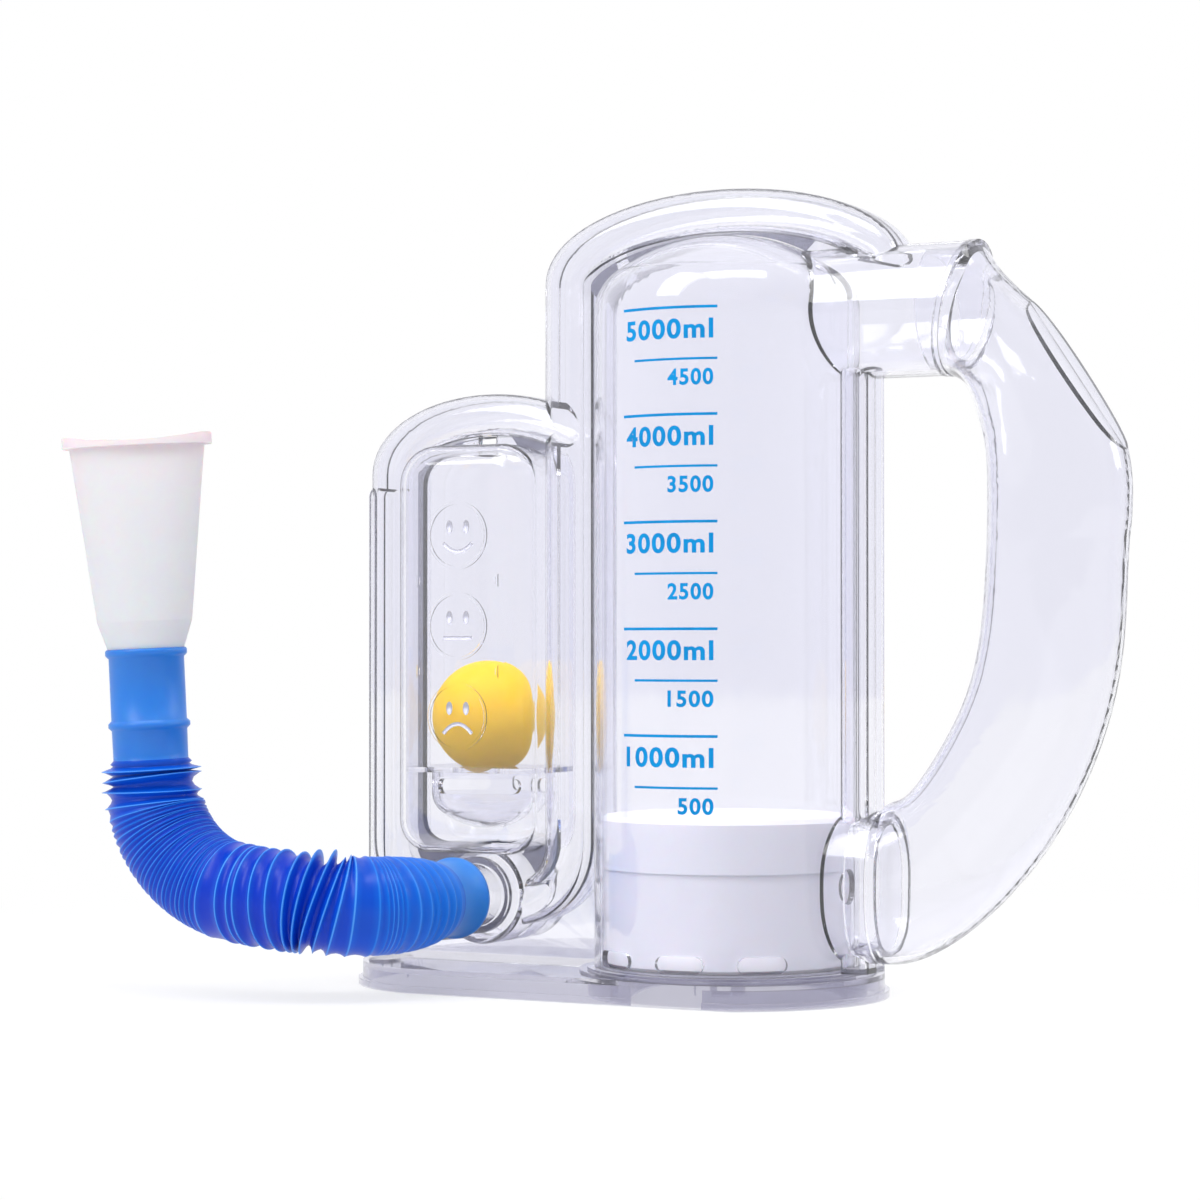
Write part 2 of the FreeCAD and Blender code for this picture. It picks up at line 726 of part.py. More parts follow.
def mouth_cuff():
    """The hose's cuff at the mouthpiece, with a bead near its root and one round its mouth."""
    bore = port_radius + push_fit
    low = mouth_cuff_bead_height
    length = mouth_cuff_length
    cuff = turned([
        (bore, 0),
        (cuff_root_radius, 0),
        (cuff_root_radius, cuff_root),
        (cuff_radius, cuff_root),
        (cuff_radius, low),
        (cuff_bead_radius, low),
        (cuff_bead_radius, low + cuff_bead),
        (cuff_radius, low + cuff_bead),
        (cuff_radius, length - cuff_bead),
        (cuff_bead_radius, length - cuff_bead),
        (cuff_bead_radius, length),
        (bore, length),
    ])
    return aimed(cuff, hose_route[-1], mouth_axis())


def flat_oval(height, half_width, half_depth, inset):
    """A level section of the mouthpiece."""
    centre = Vector(0, 0, height)
    wide = centre + X_AXIS * (half_width - inset)
    deep = centre + Y_AXIS * (half_depth - inset)
    return Part.Wire(Part.Ellipse(wide, deep, centre).toShape())


def mouth_body(inset):
    """The mouthpiece above the cuff as a solid, made thinner all round by inset."""
    top = mouth_height
    root = flat_oval(0, mouth_root_radius, mouth_root_depth, inset)
    shoulder = flat_oval(mouth_shoulder_height, *mouth_shoulder, inset)
    end = flat_oval(top, *mouth_top, inset)
    return fused([Part.makeLoft([root, shoulder], True, True), Part.makeLoft([shoulder, end], True, True)])


def mouthpiece():
    """The frosted mouthpiece: a round neck that flattens to a wide oval with a hollowed rim."""
    rim = Part.Face(flat_oval(mouth_height - rim_height, mouth_top[0] + rim_width, mouth_top[1] + rim_width, 0))
    body = fused([
        Part.makeCylinder(port_radius, mouth_neck_length, Vector(0, 0, -mouth_neck_length)),
        mouth_body(0),
        rim.extrude(Z_AXIS * rim_height),
    ])
    bore = Part.makeCylinder(port_radius - mouth_wall, mouth_neck_length + wall, Vector(0, 0, -mouth_neck_length))
    cavity = mouth_body(mouth_wall).common(box(-big, -big, mouth_wall, big, big, big))
    body = body.cut(cavity).cut(bore)
    sag = saddle_radius - math.sqrt(saddle_radius ** 2 - mouth_top[0] ** 2)
    hollow_centre = Vector(0, -big / 2, mouth_height - sag + saddle_radius)
    body = body.cut(Part.makeCylinder(saddle_radius, big, hollow_centre, Y_AXIS))
    body.rotate(Vector(0, 0, 0), Z_AXIS, mouth_turn)
    end = hose_route[-1] + mouth_axis() * mouth_cuff_length
    return aimed(body, end, mouth_axis())


def hose_path():
    """The hose's straight runs joined by tangent arcs, and the arcs' radii."""
    edges = []
    radii = []
    start = hose_route[0]
    for before, corner, after in zip(hose_route, hose_route[1:], hose_route[2:]):
        back = before - corner
        ahead = after - corner
        reach = 0.45 * min(back.Length, ahead.Length)
        turn = math.pi - back.getAngle(ahead)
        radius = reach / math.tan(turn / 2)
        first = corner + back.normalize() * reach
        last = corner + ahead.normalize() * reach
        inward = (back + ahead).normalize()
        middle = corner + inward * (radius / math.cos(turn / 2) - radius)
        edges.append(Part.makeLine(start, first))
        edges.append(Part.Arc(first, middle, last).toShape())
        radii.append(radius)
        start = last
    edges.append(Part.makeLine(start, hose_route[-1]))
    return Part.Wire(edges), radii


def breathing_hose():
    """The hose between its cuffs, as a plain tube of its outer size."""
    path, radii = hose_path()
    tubes = []
    for radius in (hose_radius, hose_radius - hose_wall):
        circle = Part.Wire(Part.makeCircle(radius, hose_route[0], Vector(0, -1, 0)))
        tubes.append(path.makePipeShell([circle], True, False))
    hose = tubes[0].cut(tubes[1])
    section = math.pi * (hose_radius ** 2 - (hose_radius - hose_wall) ** 2)
    print("hose length", round(path.Length, 1), "volume share", round(hose.Volume / section / path.Length, 4))
    print("hose radii", [round(radius, 1) for radius in radii])
    return hose


def halves(solid):
    """The front and the rear half of a solid that is parted in the middle plane."""
    front = solid.common(box(-big, -big, -big, big, 0, big))
    rear = solid.common(box(-big, 0, -big, big, big, big))
    return front, rear


def build():
    """Every piece by its name."""
    front_shell, rear_shell = halves(housing())
    front_shell = fused([front_shell] + marks())
    handle_front, handle_rear = halves(handle())
    return {
        "foot_plate": foot_plate(),
        "chamber_floor": chamber_floor(),
        "volume_chamber": volume_chamber(),
        "front_shell": front_shell,
        "rear_shell": rear_shell,
        "ball_seat": ball_seat(),
        "flow_ball": flow_ball(),
        "piston_crown": piston_crown(),
        "piston_skirt": piston_skirt(),
        "handle_front": handle_front,
        "handle_rear": handle_rear,
        "handle_seal": handle_seal(),
        "hose_port": hose_port(),
        "port_cuff": port_cuff(),
        "breathing_hose": breathing_hose(),
        "mouth_cuff": mouth_cuff(),
        "mouthpiece": mouthpiece(),
    }


os.makedirs("parts", exist_ok=True)
for name, shape in build().items():
    shape.exportStep("parts/" + name + ".step")
    size = shape.BoundBox
    print(name, len(shape.Solids), shape.isValid(), round(shape.Volume), end=" ")
    print([round(value, 1) for value in (size.XMin, size.XMax, size.YMin, size.YMax, size.ZMin, size.ZMax)])
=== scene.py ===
import bmesh
import bpy
import math
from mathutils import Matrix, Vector


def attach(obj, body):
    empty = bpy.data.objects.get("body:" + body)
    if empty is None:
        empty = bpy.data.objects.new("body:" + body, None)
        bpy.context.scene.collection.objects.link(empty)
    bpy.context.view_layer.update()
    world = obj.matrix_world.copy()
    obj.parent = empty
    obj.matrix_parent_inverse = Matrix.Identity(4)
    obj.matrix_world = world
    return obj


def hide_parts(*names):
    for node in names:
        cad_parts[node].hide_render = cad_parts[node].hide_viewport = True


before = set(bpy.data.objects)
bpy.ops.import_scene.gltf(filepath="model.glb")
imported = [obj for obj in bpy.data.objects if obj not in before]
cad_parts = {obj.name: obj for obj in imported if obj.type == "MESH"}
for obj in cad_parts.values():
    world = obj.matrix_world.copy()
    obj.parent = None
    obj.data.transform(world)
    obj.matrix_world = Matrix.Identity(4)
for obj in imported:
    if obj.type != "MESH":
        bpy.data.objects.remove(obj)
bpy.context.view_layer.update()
scene = bpy.context.scene

# Sizes shared with the solid model, in metres
CHAMBER_RADIUS = 0.046
COLUMN_X = -0.0948
COLUMN_FRONT = -0.0224
PORT_X = -0.091
PORT_HEIGHT = 0.032
PORT_CUFF_RIM = -0.030
HOSE_START = -0.046
CUFF_BORE = 0.01105
HOSE_ROUTE = [
    (-0.0910, -0.0460, 0.0320),
    (-0.0910, -0.0620, 0.0320),
    (-0.0995, -0.0785, 0.0318),
    (-0.1160, -0.0880, 0.0330),
    (-0.1345, -0.0905, 0.0350),
    (-0.1520, -0.0895, 0.0375),
    (-0.1683, -0.0882, 0.0473),
    (-0.1784, -0.0880, 0.0635),
    (-0.1791, -0.0884, 0.0805),
]
MOUTH_CUFF_LENGTH = 0.0386


# Camera, at the photograph's viewing angle

camera = bpy.data.objects.new("camera", bpy.data.cameras.new("camera"))
camera.location = (0.4869, -1.0095, 0.1196)
camera.rotation_euler = (math.radians(90.83), 0, math.radians(28.0))
camera.data.lens = 97.4
camera.data.sensor_width = 36.0
camera.data.clip_end = 20.0
scene.collection.objects.link(camera)
scene.camera = camera


# Materials

def linear(code):
    """An sRGB hex colour as linear RGBA."""
    values = [int(code[place:place + 2], 16) / 255 for place in (1, 3, 5)]
    return tuple(v / 12.92 if v <= 0.04045 else ((v + 0.055) / 1.055) ** 2.4 for v in values) + (1.0,)


def add(tree, kind, inputs=None, **settings):
    """One node with its settings; each input is a value or the socket that feeds it."""
    node = tree.nodes.new(kind)
    for name, value in settings.items():
        setattr(node, name, value)
    for name, value in (inputs or {}).items():
        if isinstance(value, bpy.types.NodeSocket):
            tree.links.new(value, node.inputs[name])
        else:
            node.inputs[name].default_value = value
    return node


def plastic(name, ripple=0.0, ripple_size=0.012, grain=0.0, grain_size=0.0006, **inputs):
    """A moulded plastic: a smooth ripple from the mould, and a fine grain on the surface."""
    material = bpy.data.materials.new(name)
    material.use_nodes = True
    tree = material.node_tree
    shader = tree.nodes["Principled BSDF"]
    for socket, value in inputs.items():
        shader.inputs[socket.replace("_", " ")].default_value = value
    place = add(tree, "ShaderNodeTexCoord").outputs["Object"]
    normal = None
    for strength, size, detail in ((ripple, ripple_size, 1.0), (grain, grain_size, 3.0)):
        if strength:
            noise = add(tree, "ShaderNodeTexNoise", {"Vector": place, "Scale": 1 / size, "Detail": detail})
            sockets = {"Height": noise.outputs["Fac"], "Strength": 1.0, "Distance": strength}
            if normal:
                sockets["Normal"] = normal
            normal = add(tree, "ShaderNodeBump", sockets).outputs["Normal"]
    if normal:
        tree.links.new(normal, shader.inputs["Normal"])
    return material


def vary(material, socket, first, second, size, detail=2.0, low=0.35, high=0.65):
    """Lets a colour or a number drift between two values over patches of a real size."""
    tree = material.node_tree
    shader = tree.nodes["Principled BSDF"]
    place = add(tree, "ShaderNodeTexCoord").outputs["Object"]
    noise = add(tree, "ShaderNodeTexNoise", {"Vector": place, "Scale": 1 / size, "Detail": detail})
    if isinstance(first, tuple):
        drift = add(tree, "ShaderNodeValToRGB", {"Fac": noise.outputs["Fac"]})
        for element, colour, position in zip(drift.color_ramp.elements, (first, second), (low, high)):
            element.color = colour
            element.position = position
        tree.links.new(drift.outputs["Color"], shader.inputs[socket])
        return
    drift = add(tree, "ShaderNodeMapRange", {
        "Value": noise.outputs["Fac"], "From Min": low, "From Max": high, "To Min": first, "To Max": second,
    })
    tree.links.new(drift.outputs["Result"], shader.inputs[socket])


# Clear styrene copolymer, injection moulded in a polished mould: glassy, with slow ripples, and with the
# faint haze of a cheap grade, which the Transmission Weight under 1 gives.
clear_styrene = plastic(
    "clear_styrene", ripple=0.00004, ripple_size=0.02,
    Base_Color=linear("#F8F8FC"), IOR=1.46, Transmission_Weight=0.985, Roughness=0.02,
)
vary(clear_styrene, "Roughness", 0.01, 0.06, 0.03)

# The chamber is the same plastic, drawn longer in its mould, so its wall ripples less.
clear_chamber = plastic(
    "clear_chamber", ripple=0.00002, ripple_size=0.03,
    Base_Color=linear("#F5F5FA"), IOR=1.46, Transmission_Weight=0.955, Roughness=0.02,
)
vary(clear_chamber, "Roughness", 0.02, 0.06, 0.04)

# The foot is the same plastic, with a greyer base colour that is painted shade.
shade_painted_styrene = plastic(
    "shade_painted_styrene", ripple=0.00004, ripple_size=0.02,
    Base_Color=linear("#D6D5E3"), IOR=1.46, Transmission_Weight=0.88, Roughness=0.03,
)
vary(shade_painted_styrene, "Roughness", 0.02, 0.08, 0.03)

# The faces' relief. On the real column it is one with the wall and bends light only a little. Here it is a
# thin mesh of its own on that wall, so its IOR is set well below the plastic's, and it is slightly milky.
clear_relief = plastic(
    "clear_relief", ripple=0.00002, ripple_size=0.03,
    Base_Color=linear("#F4F4FA"), IOR=1.12, Transmission_Weight=0.72, Roughness=0.1,
)
vary(clear_relief, "Roughness", 0.06, 0.16, 0.01)

# White high-impact polystyrene, moulded: even, softly shiny and slightly see-through at its edges.
white_polystyrene = plastic(
    "white_polystyrene", ripple=0.00001, grain=0.000004, grain_size=0.0008,
    Base_Color=linear("#E2E1EA"), Roughness=0.35, Subsurface_Weight=0.15, Subsurface_Scale=0.003,
)
vary(white_polystyrene, "Roughness", 0.3, 0.42, 0.012)

# Yellow polypropylene, blow moulded: a dull wax-like shine.
yellow_polypropylene = plastic(
    "yellow_polypropylene", grain=0.000006, grain_size=0.0009,
    Base_Color=linear("#F4C000"), Roughness=0.5, Specular_IOR_Level=0.2,
    Subsurface_Weight=0.2, Subsurface_Scale=0.003,
)
vary(yellow_polypropylene, "Base Color", linear("#F6C300"), linear("#F1BB00"), 0.02)

# Frosted low-density polyethylene, moulded against a blasted mould: milky, and lets light through.
frosted_polyethylene = plastic(
    "frosted_polyethylene", ripple=0.00003, ripple_size=0.015, grain=0.00001, grain_size=0.0005,
    Base_Color=linear("#EFE8EB"), Roughness=0.5, Subsurface_Weight=0.6, Subsurface_Scale=0.006,
    Transmission_Weight=0.25, IOR=1.5,
)
vary(frosted_polyethylene, "Roughness", 0.42, 0.6, 0.01)

# Screen ink: flat, opaque, and a little broken at its edges.
screen_ink = plastic(
    "screen_ink", grain=0.000003, grain_size=0.0004, Base_Color=linear("#0086CC"), Roughness=0.6,
    Specular_IOR_Level=0.15,
)
vary(screen_ink, "Base Color", linear("#008CCC"), linear("#0082C0"), 0.006)


def hose_plastic(name, valley, middle, ridge, **inputs):
    """Polyethylene coloured along its folds, where the mesh's fold attribute is 1 on a fold: pale crests are
    thin plastic with a painted highlight, dark valleys are painted shade.
    """
    material = plastic(name, ripple=0.00002, ripple_size=0.008, grain=0.000004, grain_size=0.0006, **inputs)
    tree = material.node_tree
    shader = tree.nodes["Principled BSDF"]
    fold = add(tree, "ShaderNodeAttribute", attribute_name="fold")
    drift = add(tree, "ShaderNodeValToRGB", {"Fac": fold.outputs["Fac"]})
    drift.color_ramp.elements[0].color = linear(valley)
    drift.color_ramp.elements[1].color = linear(ridge)
    drift.color_ramp.elements.new(0.4).color = linear(middle)
    tree.links.new(drift.outputs["Color"], shader.inputs["Base Color"])
    return material


# Blue low-density polyethylene, blown thin into folds: satin, paler on the crests, where it is thinnest and a
# highlight is painted, and darker in the valleys, where shade is painted.
blue_fold = hose_plastic(
    "blue_fold", "#0032B4", "#0068D0", "#4A92E6", Roughness=0.32, Specular_IOR_Level=0.22,
)

# The cuffs are the same plastic, thick but moulded without folds, so light comes through them.
blue_cuff = hose_plastic(
    "blue_cuff", "#0F7EE4", "#2F94EE", "#5FB0F4", Roughness=0.4, Transmission_Weight=0.3, IOR=1.5,
    Subsurface_Weight=0.4, Subsurface_Scale=0.006,
)

NODE_MATERIALS = {
    "foot_plate": shade_painted_styrene,
    "chamber_floor": shade_painted_styrene,
    "volume_chamber": clear_chamber,
    "front_shell": clear_styrene,
    "rear_shell": clear_styrene,
    "ball_seat": clear_styrene,
    "flow_ball": yellow_polypropylene,
    "piston_crown": white_polystyrene,
    "piston_skirt": white_polystyrene,
    "handle_front": clear_styrene,
    "handle_rear": clear_styrene,
    "handle_seal": clear_styrene,
    "hose_port": clear_styrene,
    "mouthpiece": frosted_polyethylene,
}
for node_name, finish in NODE_MATERIALS.items():
    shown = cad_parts[node_name]
    for place in range(max(1, len(shown.data.materials))):
        if place < len(shown.material_slots):
            shown.material_slots[place].material = finish
        else:
            shown.data.materials.append(finish)
    # Clear pieces let the light on, so what is inside them is lit. The foot shades the floor under it.
    shown.visible_shadow = finish not in (clear_styrene, clear_chamber)


# Shapes

def new_object(name, bm, materials, body, smooth=True):
    """An object from a mesh in the making, on its body."""
    bmesh.ops.recalc_face_normals(bm, faces=bm.faces)
    mesh = bpy.data.meshes.new(name)
    bm.to_mesh(mesh)
    bm.free()
    for material in materials:
        mesh.materials.append(material)
    mesh.polygons.foreach_set("use_smooth", [smooth] * len(mesh.polygons))
    piece = bpy.data.objects.new(name, mesh)
    scene.collection.objects.link(piece)
    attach(piece, body)
    return piece


def spline_points(name, points, resolution):
    """Evenly fine points along one smooth line that the given points steer."""
    curve = bpy.data.curves.new(name, "CURVE")
    curve.dimensions = "3D"
    spline = curve.splines.new("NURBS")
    spline.points.add(len(points) - 1)
    for control, point in zip(spline.points, points):
        control.co = (*point, 1.0)
    spline.order_u = 3
    spline.use_endpoint_u = True
    spline.resolution_u = resolution
    carrier = bpy.data.objects.new(name, curve)
    scene.collection.objects.link(carrier)
    line = bpy.data.meshes.new_from_object(carrier)
    found = [vertex.co.copy() for vertex in line.vertices]
    bpy.data.objects.remove(carrier)
    bpy.data.curves.remove(curve)
    bpy.data.meshes.remove(line)
    return found


class Line:
    """A line of close points that can be asked for a place and a direction at any length."""

    def __init__(self, points):
        self.points = points
        self.lengths = [0.0]
        for first, second in zip(points, points[1:]):
            self.lengths.append(self.lengths[-1] + (second - first).length)
        self.length = self.lengths[-1]

    def at(self, distance):
        """The point at a distance along the line, going straight on past its ends."""
        number = 1
        while number < len(self.lengths) - 1 and self.lengths[number] < distance:
            number += 1
        first, second = self.points[number - 1], self.points[number]
        share = (distance - self.lengths[number - 1]) / (self.lengths[number] - self.lengths[number - 1])
        return first + (second - first) * share

    def direction(self, distance):
        """The direction of travel there, averaged over a few millimetres."""
        return (self.at(distance + 0.002) - self.at(distance - 0.002)).normalized()


def ring_points(centre, direction, side, radius, count, tilt, swell, way):
    """A ring of points round a line, which can lean out of the square section and swell on one side."""
    over = direction.cross(side).normalized()
    ring = []
    for number in range(count):
        angle = 2 * math.pi * number / count
        facing = math.cos(angle - way)
        reach = radius + swell * max(0.0, facing) ** 2
        lean = math.tan(tilt) * math.cos(angle) * radius
        point = centre + side * (math.cos(angle) * reach) + over * (math.sin(angle) * reach)
        ring.append(point + direction * lean)
    return ring


# The hose, with both of its moulded cuffs, follows one smooth line from cuff to cuff.

mouth_direction = (Vector(HOSE_ROUTE[-1]) - Vector(HOSE_ROUTE[-2])).normalized()
port_start = Vector((PORT_X, PORT_CUFF_RIM, PORT_HEIGHT))
mouth_end = Vector(HOSE_ROUTE[-1]) + mouth_direction * MOUTH_CUFF_LENGTH
bent = spline_points("hose_line", HOSE_ROUTE, 24)
hose_line = Line([port_start] + bent + [mouth_end])
PORT_CUFF_END = PORT_CUFF_RIM - HOSE_START
FOLDS_END = hose_line.length - MOUTH_CUFF_LENGTH

profile = []


def station(distance, radius, fold=0.0, tilt=0.0, swell=0.0, way=0.0, cuff=False):
    """One ring of the hose's outside, with its distance and radius in millimetres."""
    lean = math.radians(tilt)
    profile.append((distance / 1000, radius / 1000, fold, lean, swell / 1000, math.radians(way), cuff))


# Port cuff: a bead round its mouth, then a plain sleeve.
for distance, radius in ((0.0, 13.6), (0.6, 14.1), (1.8, 14.2), (2.6, 13.9), (3.4, 13.2), (12.0, 13.1)):
    station(distance, radius, 0.3, cuff=True)
station(PORT_CUFF_END * 1000, 13.6, 0.3, cuff=True)

# The folds as they stand in the photograph, pulled out in the straight and packed in the bend. Each is its
# place along the hose, the radius of its crest, the radius of the valley after it, its lean in degrees (with
# its top towards the mouthpiece), how far it flares on one side, and that side.
FOLDS = [
    (19.4, 14.3, 14.1, 1, 0, 0),
    (23.6, 15.2, 14.9, 2, 0, 0),
    (28.0, 15.8, 15.3, 4, 0, 0),
    (31.8, 16.2, 15.7, 5, 0, 0),
    (34.5, 16.4, 15.9, 5, 0, 0),
    (38.0, 16.7, 16.2, 4, 0, 0),
    (41.4, 16.7, 16.4, 3, 0, 0),
    (42.5, 16.7, 16.4, 3, 0, 0),
    (43.7, 16.7, 16.4, 2, 0, 0),
    (44.8, 16.8, 16.5, 2, 0, 0),
    (45.9, 16.8, 16.4, 2, 0, 0),
    (48.1, 17.0, 16.3, 0, 0, 0),
    (53.7, 17.1, 16.0, -3, 0, 0),
    (57.2, 17.1, 14.9, -11, 0.4, 0),
    (60.4, 16.6, 13.9, -15, 0, 0),
    (64.2, 17.2, 13.2, -15, 1.8, 0),
    (67.8, 17.1, 14.2, -8, 1.5, 0),
    (71.2, 17.1, 15.4, -2, 0.3, 0),
    (75.9, 17.2, 15.8, 5, 0.3, 0),
    (80.9, 17.1, 15.9, 6, 0, 0),
    (86.2, 17.1, 16.4, 4, 0, 0),
    (88.3, 17.0, 16.3, 3, 0, 0),
    (92.0, 17.1, 16.5, 2, 0, 0),
    (99.2, 17.0, 16.3, 0, 0, 0),
]
# The tight rings in the bend, each leaning a little its own way
TIGHT_START = 101.6
TIGHT_PITCH = 1.87
TIGHT_COUNT = 22
FOLDS += [
    (TIGHT_START + TIGHT_PITCH * number, 16.8, 16.05, 1.5 * math.sin(number * 2.3), 0, 0)
    for number in range(TIGHT_COUNT)
]
# The open rings under the mouth cuff
FOLDS += [
    (143.6, 16.6, 14.6, -6, 1.2, 180),
    (148.2, 16.6, 13.6, -7, 1.6, 180),
    (152.9, 17.2, 13.4, 2, 0, 0),
    (155.6, 17.2, 13.2, -1, 0, 0),
]
# A gap wider than this has a valley that is rounded by a ring on each side of its bottom.
WIDE_GAP = 3

for number, (place, crest, valley, lean, flare, way) in enumerate(FOLDS):
    after = FOLDS[number + 1][0] if number + 1 < len(FOLDS) else FOLDS_END * 1000
    gap = after - place
    edge = min(0.32, gap * 0.15)
    # The plastic is thinner towards both cuffs, and there its valleys get less painted shade and are paler.
    pale = 0.46 * max(0.0, 1 - (place - 16) / 44) + 0.16 * max(0.0, 1 - (FOLDS_END * 1000 - place) / 26)
    rise = crest - valley
    # Crests near the port and in the tight bend are less stretched, so they are less pale and get a weaker
    # painted highlight, and not all alike.
    slack = place < 50 or 101 < place < 142
    crest_thinness_and_highlight = 0.6 + 0.22 * math.sin(number * 1.7) if slack else 1.0
    station(place - edge * 0.2, crest, crest_thinness_and_highlight, lean, flare, way)
    station(place + edge * 0.2, crest, crest_thinness_and_highlight, lean, flare, way)
    station(place + edge, crest - rise * 0.25, pale + 0.1, lean, flare * 0.6, way)
    next_lean = FOLDS[number + 1][3] if number + 1 < len(FOLDS) else 0
    if gap > WIDE_GAP:
        station(place + gap * 0.3, valley + rise * 0.22, pale, lean * 0.8 + next_lean * 0.2, flare * 0.2, way)
    station(place + gap * 0.5, valley, pale, (lean + next_lean) / 2)
    if gap > WIDE_GAP:
        station(place + gap * 0.7, valley + rise * 0.22, pale, lean * 0.2 + next_lean * 0.8)
    if number + 1 < len(FOLDS):
        station(after - edge, FOLDS[number + 1][1] - rise * 0.25, pale + 0.1, next_lean)

# Mouth cuff: a bead near its root and one round its mouth.
for distance, radius in (
    (0.3, 12.9), (2.0, 12.9), (10.5, 13.0),
    (11.0, 13.5), (11.6, 14.1), (12.9, 14.1), (13.5, 13.5), (14.0, 13.0),
    (35.5, 13.0), (36.0, 13.6), (36.6, 14.1), (38.0, 14.1), (38.6, 13.7),
):
    station(FOLDS_END * 1000 + distance, radius, 0.15, cuff=True)


FOLD_WALL = 0.0008


def hose_mesh():
    """The folded tube and its cuffs as one skin with an inside."""
    count = 72
    bm = bmesh.new()
    fold_layer = bm.verts.layers.float.new("fold")
    outer = []
    inner = []
    side = Vector((0.0, 0.0, 1.0))
    for distance, radius, fold, tilt, swell, way, cuff in profile:
        centre = hose_line.at(distance)
        direction = hose_line.direction(distance)
        side = (side - direction * side.dot(direction)).normalized()
        bore = CUFF_BORE if cuff else radius - FOLD_WALL
        for rings, size in ((outer, radius), (inner, bore)):
            points = ring_points(centre, direction, side, size, count, tilt, swell, way)
            verts = [bm.verts.new(point) for point in points]
            for vert in verts:
                vert[fold_layer] = fold
            rings.append((verts, cuff))
    loop = outer + inner[::-1]
    for (first, cuff_first), (second, cuff_second) in zip(loop, loop[1:] + loop[:1]):
        for number in range(count):
            after = (number + 1) % count
            face = bm.faces.new((first[number], first[after], second[after], second[number]))
            face.material_index = 1 if cuff_first and cuff_second else 0
    return bm


breathing_hose = new_object("hose_with_cuffs", hose_mesh(), [blue_fold, blue_cuff], "hose")
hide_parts("port_cuff", "breathing_hose", "mouth_cuff")


# The printed scale

def wrap(bm, height):
    """Bends flat print, drawn in X (along the surface) and Z with its thickness in Y, round the chamber."""
    for vert in bm.verts:
        angle = vert.co.x / CHAMBER_RADIUS
        radius = CHAMBER_RADIUS - vert.co.y
        vert.co = Vector((math.sin(angle) * radius, -math.cos(angle) * radius, vert.co.z + height))


# The print, in metres up the chamber, and in degrees round it from its front. Each number is under its line.
INK = 0.00006
SCALE_TOP = 0.2326
SCALE_STEP = 0.03565
HALF_STEP = 0.0172
LINE_RIGHT = 21.6
LONG_LINE_LEFT = -23.4
SHORT_LINE_LEFT = -16.8
LABEL_RIGHT = 19.9
LONG_LABEL_LEFT = -21.6
SHORT_LABEL_LEFT = 0.0
THREE_FIGURE_LEFT = 4.6


def ink_line(bm, height, left, right, thickness):
    """A level line of ink between two angles."""
    count = max(4, round((right - left) / 2))
    start = left / 180 * math.pi * CHAMBER_RADIUS
    end = right / 180 * math.pi * CHAMBER_RADIUS
    columns = []
    for number in range(count + 1):
        x = start + (end - start) * number / count
        corners = [(-INK, -0.5), (-INK, 0.5), (0.0, 0.5), (0.0, -0.5)]
        columns.append([bm.verts.new((x, y, z * thickness)) for y, z in corners])
    for first, second in zip(columns, columns[1:]):
        for number in range(4):
            after = (number + 1) % 4
            bm.faces.new((first[number], first[after], second[after], second[number]))
    bm.faces.new(columns[0])
    bm.faces.new(columns[-1][::-1])
    wrap(bm, height)


def ink_label(bm, words, left, right, top, tall):
    """A number in plain rounded figures that fills the given width and height."""
    curve = bpy.data.curves.new("label", "FONT")
    curve.body = words
    curve.size = 0.01
    curve.space_character = 1.14
    curve.offset = 0.00031
    curve.resolution_u = 6
    curve.extrude = INK / 2
    carrier = bpy.data.objects.new("label", curve)
    scene.collection.objects.link(carrier)
    mesh = bpy.data.meshes.new_from_object(carrier)
    bm.from_mesh(mesh)
    bpy.data.objects.remove(carrier)
    bpy.data.curves.remove(curve)
    bpy.data.meshes.remove(mesh)
    low_x = min(vert.co.x for vert in bm.verts)
    high_x = max(vert.co.x for vert in bm.verts)
    low_y = min(vert.co.y for vert in bm.verts)
    high_y = max(vert.co.y for vert in bm.verts)
    start = left / 180 * math.pi * CHAMBER_RADIUS
    wide = (right - left) / 180 * math.pi * CHAMBER_RADIUS
    for vert in bm.verts:
        x = start + (vert.co.x - low_x) / (high_x - low_x) * wide
        z = (vert.co.y - low_y) / (high_y - low_y) * tall
        vert.co = Vector((x, -INK if vert.co.z > 0 else 0.0, z))
    wrap(bm, top - tall)


def printed_scale():
    """Every line and number of the scale, as one print."""
    whole = bmesh.new()
    for number in range(5):
        litres = 5 - number
        whole_words = str(litres * 1000) + "ml"
        half_words = str(litres * 1000 - 500)
        height = SCALE_TOP - number * SCALE_STEP
        half = height - HALF_STEP
        half_left = SHORT_LABEL_LEFT if litres > 1 else THREE_FIGURE_LEFT
        pieces = [
            (ink_line, (height, LONG_LINE_LEFT, LINE_RIGHT, 0.00095)),
            (ink_label, (whole_words, LONG_LABEL_LEFT, LABEL_RIGHT, height - 0.0037, 0.0068)),
            (ink_line, (half, SHORT_LINE_LEFT, LINE_RIGHT, 0.0008)),
            (ink_label, (half_words, half_left, LABEL_RIGHT, half - 0.0032, 0.0056)),
        ]
        for draw, values in pieces:
            part = bmesh.new()
            draw(part, *values)
            mesh = bpy.data.meshes.new("part")
            part.to_mesh(mesh)
            part.free()
            whole.from_mesh(mesh)
            bpy.data.meshes.remove(mesh)
    return whole


scale_print = new_object("scale_print", printed_scale(), [screen_ink], "housing", smooth=False)
scale_print.visible_shadow = False


# The raised faces in the column's rings: happy at the top, even in the middle, sad at the bottom

